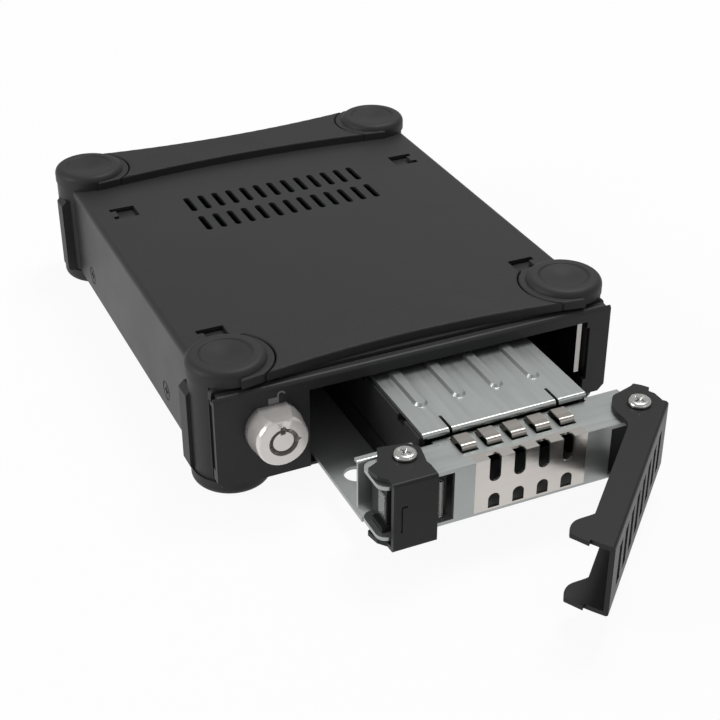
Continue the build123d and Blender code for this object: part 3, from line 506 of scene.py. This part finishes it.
class ENCLOSURE_OT_case(bpy.types.Operator):
    """Finishes the folded case and fits its side screws"""

    bl_idname = "enclosure.case"
    bl_label = "Case"

    def execute(self, context):
        steel = material("case powder coat", powder_coat, colours().steel)
        dress(steel, "case_cover", "base_plate", "front_panel", "rear_panel")
        black = material("black screw", powder_coat, colours().lever)
        bm = bmesh.new()
        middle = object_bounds()[0].lerp(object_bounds()[1], 0.5).x
        radius = sizes().case_screw_radius
        for low, high in islands("case_screws"):
            centre = (low + high) / 2
            side = -1.0 if centre.x < middle else 1.0
            outer = low.x if side < 0 else high.x
            stem = high.x - low.x
            turn = Matrix.Rotation(side * math.pi / 2, 4, "Y")
            head = min((high.z - low.z) / 2, radius)
            thick = head * 0.48
            seat = Matrix.Translation((outer - side * thick, centre.y, centre.z))
            cross_head(bm, head, thick, head * 0.55, head * 0.22, thick * 0.55, seat @ turn)
            part = bmesh.new()
            shank = sizes().case_shank_radius
            bmesh.ops.create_cone(
                part, cap_ends=True, segments=24, radius1=shank, radius2=shank, depth=stem - thick
            )
            mid = Vector((outer - side * (thick + (stem - thick) / 2), centre.y, centre.z))
            merge(bm, part, Matrix.Translation(mid) @ turn)
        piece = finished(bm, "side_screws", black, "case")
        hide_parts("case_screws")
        return {"FINISHED"}


class ENCLOSURE_OT_posts(bpy.types.Operator):
    """Finishes the rubber corner posts and the two bands"""

    bl_idname = "enclosure.posts"
    bl_label = "Posts and bands"

    def execute(self, context):
        for post in POSTS:
            centre = self.cap_centre(post)
            rubber = material("rubber " + post, rubber_with_painted_dish_shade, colours().rubber, centre, sizes().dish_radius)
            dress(rubber, post)
        dress(material("band plastic", textured_plastic, colours().band, 0.56), "front_band", "rear_band")
        return {"FINISHED"}

    def cap_centre(self, post):
        """The middle of the flat ring on top of a post."""
        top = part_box(post)[1].z
        ring = [vert.co for vert in frame["nodes"][post].data.vertices if vert.co.z > top - 0.02 * MM]
        middle = [(min(co[axis] for co in ring) + max(co[axis] for co in ring)) / 2 for axis in (0, 1)]
        return Vector((*middle, top))


class ENCLOSURE_OT_lock(bpy.types.Operator):
    """Finishes the lock and prints the marks by it"""

    bl_idname = "enclosure.lock"
    bl_label = "Lock"

    def execute(self, context):
        axis = joint_place["lock_turn"]
        centre = Vector((axis.x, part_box("lock_barrel")[0].y, axis.z))
        chrome = material("lock chrome", satin_chrome, colours().chrome, centre)
        dress(chrome, "lock_barrel", "lock_core")
        self.barrel(centre, chrome)
        zinc = material("zinc fittings", rolled_steel, colours().zinc, 0.36, "x", 0.8)
        dress(zinc, "lock_nut", "lock_cam")
        dress(material("bright screw", polished_steel, colours().screw, 0.22), "cam_screw")
        self.padlock(centre)
        self.pointers(centre)
        return {"FINISHED"}

    def barrel(self, centre, chrome):
        """The barrel with a flat milled along the top of its head."""
        bm = bmesh.new()
        bm.from_mesh(frame["nodes"]["lock_barrel"].data)
        bmesh.ops.remove_doubles(bm, verts=bm.verts, dist=0.001 * MM)
        whole = bm.verts[:] + bm.edges[:] + bm.faces[:]
        up = Vector((0.0, 0.0, 1.0))
        level = centre + sizes().barrel_flat * up
        cut = bmesh.ops.bisect_plane(bm, geom=whole, plane_co=level, plane_no=up, clear_outer=True)
        rim = [item for item in cut["geom_cut"] if isinstance(item, bmesh.types.BMEdge)]
        if not rim:
            raise RuntimeError("the flat misses the barrel")
        bmesh.ops.contextual_create(bm, geom=rim)
        piece = finished(bm, "milled_barrel", chrome, "case", 24.0)
        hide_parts("lock_barrel")

    def padlock(self, centre):
        """An open padlock above the lock."""
        ink = material("printed ink", printed_ink, colours().ink)
        width = sizes().mark_width
        thick = sizes().mark_thickness
        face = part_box("front_panel")[0].y
        foot = Vector((centre.x + sizes().padlock_right, face, centre.z + sizes().padlock_rise))
        place = facing_front(foot)
        bm = bmesh.new()
        half = width / 2
        tall = width * 0.62
        stroke = width * 0.16
        hook = width * 0.33
        top = tall + width * 0.14
        plate(bm, ((-half, 0.0), (half, 0.0), (half, tall), (-half, tall)), thick, place)
        plate(bm, ((half - stroke, tall), (half, tall), (half, top), (half - stroke, top)), thick, place)
        plate(bm, ribbon((half - stroke / 2 + hook, top), hook, stroke, 180.0, 10.0), thick, place)
        finished(bm, "padlock_mark", ink, "case")

    def pointers(self, centre):
        """Two small pointers engraved by the keyway."""
        dark = material("engraved mark", plain_mark, colours().engraved)
        bm = bmesh.new()
        place = facing_front(centre)
        for angle, wide, reach in ((90.0, 0.5 * MM, 4.8 * MM), (2.0, 0.8 * MM, 4.6 * MM)):
            turn = Matrix.Rotation(math.radians(angle), 4, "Z")
            foot = reach - 1.4 * MM
            outline = ((foot, -wide), (reach, 0.0), (foot, wide))
            plate(bm, outline, sizes().mark_thickness, place @ turn)
        finished(bm, "lock_pointers", dark, "case")


class ENCLOSURE_OT_cage(bpy.types.Operator):
    """Finishes the cage round the tray and its rails"""

    bl_idname = "enclosure.cage"
    bl_label = "Cage and rails"

    def execute(self, context):
        dress(material("case powder coat", powder_coat, colours().steel), "tray_cage")
        dress(material("plated strip", plated_strip, colours().clip), "edge_clip")
        plastic = material("black plastic", textured_plastic, colours().plastic, 0.5)
        dress(plastic, "guide_rail_left", "guide_rail_right", "drive_socket", "board_link")
        return {"FINISHED"}


class ENCLOSURE_OT_boards(bpy.types.Operator):
    """Finishes the boards, their screws and their spacers"""

    bl_idname = "enclosure.boards"
    bl_label = "Boards"

    def execute(self, context):
        dress(
            material("solder mask", solder_mask, colours().board),
            "backplane_board",
            "bridge_board",
            "carrier_board",
        )
        bright = material("bright screw", polished_steel, colours().screw, 0.22)
        dress(bright, "board_screws", "board_spacers")
        return {"FINISHED"}


class ENCLOSURE_OT_ports(bpy.types.Operator):
    """Finishes the sockets and the switch at the back"""

    bl_idname = "enclosure.ports"
    bl_label = "Ports"

    def execute(self, context):
        dress(material("bright screw", polished_steel, colours().screw, 0.22), "usb_socket")
        plastic = material("black plastic", textured_plastic, colours().plastic, 0.5)
        dress(plastic, "power_jack", "switch_body", "switch_rocker")
        self.marks()
        return {"FINISHED"}

    def marks(self):
        """The on and off marks, laid on the rocker's curved face."""
        low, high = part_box("switch_rocker")
        middle = (low + high) / 2
        face = bmesh.new()
        face.from_mesh(frame["nodes"]["switch_rocker"].data)
        skin = BVHTree.FromBMesh(face)
        face.free()
        thick = sizes().rocker_ink
        line = 0.15 * MM
        ring = 0.55 * MM
        bar = [(-line, -ring), (line, -ring), (line, ring), (-line, ring)]
        halves = [ribbon((0.0, 0.0), ring, 2 * line, turn, turn + 180.0, 12) for turn in (0.0, 180.0)]
        bm = bmesh.new()
        for side, outlines in ((1.0, [bar]), (-1.0, halves)):
            start = Vector((middle.x, high.y + 5.0 * MM, middle.z + side * (high.z - low.z) * 0.2))
            hit, normal = skin.ray_cast(start, Vector((0.0, -1.0, 0.0)))[:2]
            if hit is None:
                raise RuntimeError("the rocker has no face under its mark")
            turn = normal.to_track_quat("Z", "Y").to_matrix().to_4x4()
            for outline in outlines:
                plate(bm, outline, thick, Matrix.Translation(hit) @ turn)
        ink = material("printed ink", printed_ink, colours().ink)
        finished(bm, "rocker_marks", ink, "rocker")


class ENCLOSURE_OT_tray(bpy.types.Operator):
    """Finishes the tray and fits its pivot screws and its wound spring"""

    bl_idname = "enclosure.tray"
    bl_label = "Tray"

    def execute(self, context):
        dress(material("tray zinc", rolled_steel, colours().zinc, 0.42, "y", 0.45), "tray_floor")
        front = material("tray front zinc", rolled_steel, colours().zinc, 0.32, "x", 0.75)
        dress(front, "tray_front", "side_hook")
        dress(material("spring steel", rolled_steel, colours().spring, 0.19, "x", 0.9), "shield_plate")
        dress(material("finger steel", rolled_steel, colours().finger, 0.30, "x"), "shield_springs")
        self.pivots()
        self.coil()
        return {"FINISHED"}

    def pivots(self):
        """The two screws that the lever and the bracket turn about."""
        bright = material("bright screw", polished_steel, colours().screw, 0.22)
        bm = bmesh.new()
        radius = sizes().pivot_head_radius
        foot = sizes().pivot_foot_radius
        lip = sizes().pivot_foot_height
        shank = sizes().pivot_shank_radius
        for (low, high), angle in zip(islands("pivot_screws"), (38.0, 20.0)):
            centre = (low + high) / 2
            part = bmesh.new()
            stem = high.z - low.z
            height = sizes().pivot_head_height
            turned(
                part,
                (
                    (0.0, 0.0),
                    (foot, 0.0),
                    (foot, lip),
                    (shank, lip),
                    (shank, stem - height),
                    (0.0, stem - height),
                ),
            )
            merge(bm, part, Matrix.Translation((centre.x, centre.y, low.z)))
            seat = Matrix.Translation((centre.x, centre.y, high.z - height))
            turn = Matrix.Rotation(math.radians(angle), 4, "Z")
            cross_head(bm, radius, height, radius * 0.56, radius * 0.2, sizes().recess_depth, seat @ turn)
        piece = finished(bm, "pivot_screw_pair", bright, "tray")
        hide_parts("pivot_screws")

    def coil(self):
        """The wound spring beside the press bracket."""
        low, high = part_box("tray_front")
        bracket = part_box("release_bracket")[1]
        wire = sizes().spring_wire
        radius = sizes().spring_radius - wire
        aside = sizes().spring_radius + 0.5 * MM
        inset = 3.5 * MM
        start = Vector((bracket.x + aside, low.y + 3.0 * MM, low.z + inset))
        rise = high.z - low.z - 2 * inset
        pitch = wire * 3.2
        turns = int(rise / pitch)
        steps = 14 * turns
        bm = bmesh.new()
        ring = Matrix.Translation(start + Vector((radius, 0.0, 0.0))) @ Matrix.Rotation(math.pi / 2, 4, "X")
        bmesh.ops.create_circle(bm, cap_ends=False, segments=8, radius=wire, matrix=ring)
        bmesh.ops.spin(
            bm,
            geom=bm.verts[:] + bm.edges[:],
            cent=start,
            axis=(0.0, 0.0, 1.0),
            dvec=(0.0, 0.0, rise / steps),
            angle=math.tau * turns,
            steps=steps,
            use_merge=False,
            use_duplicate=False,
        )
        bmesh.ops.holes_fill(bm, edges=[edge for edge in bm.edges if edge.is_boundary], sides=8)
        bright = material("bright screw", polished_steel, colours().screw, 0.22)
        finished(bm, "return_spring", bright, "tray")


class ENCLOSURE_OT_carrier(bpy.types.Operator):
    """Finishes the drive carrier, its ribbed plate and the light guide"""

    bl_idname = "enclosure.carrier"
    bl_label = "Carrier"

    def execute(self, context):
        plastic = material("black plastic", textured_plastic, colours().plastic, 0.5)
        dress(plastic, "carrier_box", "drive_plug", "latch_block", "lever_block")
        dress(material("ribbed zinc", rolled_steel, colours().zinc, 0.34, "y", 0.9), "ribbed_plate")
        dress(material("light guide", smoky_clear, colours().clear), "light_guide")
        return {"FINISHED"}


class ENCLOSURE_OT_lever(bpy.types.Operator):
    """Finishes the swing lever and the press bracket"""

    bl_idname = "enclosure.lever"
    bl_label = "Lever and bracket"

    def execute(self, context):
        dress(material("lever powder coat", powder_coat, colours().lever), "lever", "release_bracket")
        return {"FINISHED"}


def ray_level(tree, seen, mirrored, lighting):
    """A number by the kind of ray: seen by the camera or through glass, mirrored, or only lighting."""
    rays = tree.nodes.new("ShaderNodeLightPath")
    level = None
    for kind, part in (("Is Camera Ray", seen), ("Is Transmission Ray", seen), ("Is Glossy Ray", mirrored)):
        scaled = tree.nodes.new("ShaderNodeMath")
        scaled.operation = "MULTIPLY"
        scaled.inputs[1].default_value = part
        tree.links.new(rays.outputs[kind], scaled.inputs[0])
        most = tree.nodes.new("ShaderNodeMath")
        most.operation = "MAXIMUM"
        most.inputs[1].default_value = lighting
        tree.links.new(scaled.outputs["Value"], most.inputs[0])
        if level is not None:
            tree.links.new(level, most.inputs[1])
        level = most.outputs["Value"]
    return level


class ENCLOSURE_OT_stage(bpy.types.Operator):
    """Sets the floor, the light and the camera"""

    bl_idname = "enclosure.stage"
    bl_label = "Studio"

    def execute(self, context):
        self.floor()
        self.world(context.scene)
        low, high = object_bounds()
        middle = (low + high) / 2
        self.lamp("left lamp", (-1.0, 0.1, 0.45), middle, 0.45, 5.5)
        self.lamp("top lamp", (0.36, 0.26, 1.00), middle, 0.34, 6.0)
        self.lamp("front lamp", (0.45, -0.95, 0.55), middle, 0.60, 0.8)
        self.camera(context.scene)
        context.scene.view_settings.view_transform = "Standard"
        return {"FINISHED"}

    def floor(self):
        """A pale floor that looks white to the camera and keeps a soft shadow."""
        bm = bmesh.new()
        bmesh.ops.create_grid(bm, x_segments=1, y_segments=1, size=6.0)
        mesh = bpy.data.meshes.new("floor")
        bm.to_mesh(mesh)
        bm.free()
        floor = bpy.data.objects.new("floor", mesh)
        floor.location.z = -0.0002
        bpy.context.scene.collection.objects.link(floor)
        floor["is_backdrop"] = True
        pale = bpy.data.materials.new("pale floor")
        pale.use_nodes = True
        tree = pale.node_tree
        tree.nodes.clear()
        card = tree.nodes.new("ShaderNodeBsdfDiffuse")
        card.inputs["Color"].default_value = (0.86, 0.86, 0.86, 1.0)
        glow = tree.nodes.new("ShaderNodeEmission")
        glow.inputs["Color"].default_value = (1.0, 1.0, 1.0, 1.0)
        mix = tree.nodes.new("ShaderNodeMixShader")
        out = tree.nodes.new("ShaderNodeOutputMaterial")
        tree.links.new(ray_level(tree, 0.93, 1.0, 0.0), mix.inputs["Fac"])
        tree.links.new(card.outputs["BSDF"], mix.inputs[1])
        tree.links.new(glow.outputs["Emission"], mix.inputs[2])
        tree.links.new(mix.outputs["Shader"], out.inputs["Surface"])
        mesh.materials.append(pale)

    def world(self, scene):
        """White where it is seen or mirrored, softer where it lights."""
        world = bpy.data.worlds.new("studio")
        scene.world = world
        world.use_nodes = True
        tree = world.node_tree
        back = tree.nodes["Background"]
        tree.links.new(ray_level(tree, 1.0, 0.55, 0.30), back.inputs["Strength"])
        back.inputs["Color"].default_value = (1.0, 1.0, 1.0, 1.0)

    def lamp(self, name, place, target, size, power):
        """A square area lamp turned to the enclosure."""
        data = bpy.data.lights.new(name, "AREA")
        data.size = size
        data.energy = power
        lamp = bpy.data.objects.new(name, data)
        lamp.location = place
        lamp.rotation_mode = "QUATERNION"
        lamp.rotation_quaternion = (Vector(target) - Vector(place)).to_track_quat("-Z", "Y")
        bpy.context.scene.collection.objects.link(lamp)

    def camera(self, scene):
        """The photograph's viewpoint."""
        data = bpy.data.cameras.new("camera")
        data.lens = 74.73
        data.sensor_width = 36.0
        camera = bpy.data.objects.new("camera", data)
        camera.location = Vector((-145.4, -314.04, 223.3)) * MM
        target = Vector((2.09, 9.54, 3.98)) * MM
        camera.rotation_mode = "QUATERNION"
        camera.rotation_quaternion = (target - camera.location).to_track_quat("-Z", "Y")
        scene.collection.objects.link(camera)
        scene.camera = camera


PIECES = (
    ENCLOSURE_OT_case,
    ENCLOSURE_OT_posts,
    ENCLOSURE_OT_lock,
    ENCLOSURE_OT_cage,
    ENCLOSURE_OT_boards,
    ENCLOSURE_OT_ports,
    ENCLOSURE_OT_tray,
    ENCLOSURE_OT_carrier,
    ENCLOSURE_OT_lever,
    ENCLOSURE_OT_stage,
)


class ENCLOSURE_PT_panel(bpy.types.Panel):
    """Lists the enclosure's sizes, colours and pieces"""

    bl_idname = "ENCLOSURE_PT_panel"
    bl_label = "Drive Enclosure"
    bl_space_type = "VIEW_3D"
    bl_region_type = "UI"
    bl_category = "Enclosure"

    def draw(self, context):
        for group in (context.scene.enclosure_sizes, context.scene.enclosure_colours):
            box = self.layout.box()
            for name in group.bl_rna.properties.keys():
                if name not in {"rna_type", "name"}:
                    box.prop(group, name)
        for piece in PIECES:
            self.layout.operator(piece.bl_idname)


CLASSES = (EnclosureSizes, EnclosureColours, *PIECES, ENCLOSURE_PT_panel)


def register():
    for item in CLASSES:
        bpy.utils.register_class(item)
    bpy.types.Scene.enclosure_sizes = bpy.props.PointerProperty(type=EnclosureSizes)
    bpy.types.Scene.enclosure_colours = bpy.props.PointerProperty(type=EnclosureColours)


def unregister():
    del bpy.types.Scene.enclosure_colours
    del bpy.types.Scene.enclosure_sizes
    for item in reversed(CLASSES):
        bpy.utils.unregister_class(item)


def main():
    register()
    bpy.ops.enclosure.case()
    bpy.ops.enclosure.posts()
    bpy.ops.enclosure.lock()
    bpy.ops.enclosure.cage()
    bpy.ops.enclosure.boards()
    bpy.ops.enclosure.ports()
    bpy.ops.enclosure.tray()
    bpy.ops.enclosure.carrier()
    bpy.ops.enclosure.lever()
    bpy.ops.enclosure.stage()


if __name__ == "__main__":
    main()
